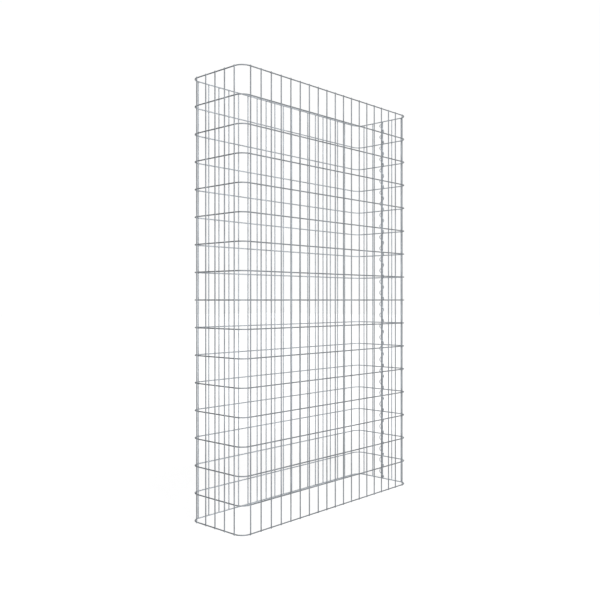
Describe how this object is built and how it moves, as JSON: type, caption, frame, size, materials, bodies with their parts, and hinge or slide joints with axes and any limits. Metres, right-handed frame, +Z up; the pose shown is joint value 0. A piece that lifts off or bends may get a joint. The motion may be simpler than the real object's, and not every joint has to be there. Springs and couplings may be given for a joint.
{
  "type": "gabion wall basket",
  "caption": "Empty welded wire mesh gabion wall cell, tall and slim with rounded corners, open at the top and bottom and laced along one edge by a spiral wire.",
  "frame": {"origin": "on the ground at the middle of the whole footprint, spiral included", "axes": "+Z up, +X from the plain end to the laced end, -Y the front"},
  "size_m": [0.9944, 0.2832, 1.605],
  "materials": {
    "mesh_wire": "hot-dip galvanised, dull grey",
    "spiral_wire": "galvanised, slightly brighter than the mesh"
  },
  "bodies": {
    "root": {"front_panel": "mesh_wire", "back_panel": "mesh_wire", "plain_end_panel": "mesh_wire", "seam_end_front_panel": "mesh_wire", "seam_end_back_panel": "mesh_wire", "front_plain_corner": "mesh_wire", "back_plain_corner": "mesh_wire", "front_seam_corner": "mesh_wire", "back_seam_corner": "mesh_wire", "closing_spiral": "spiral_wire"}
  },
  "joints": []
}
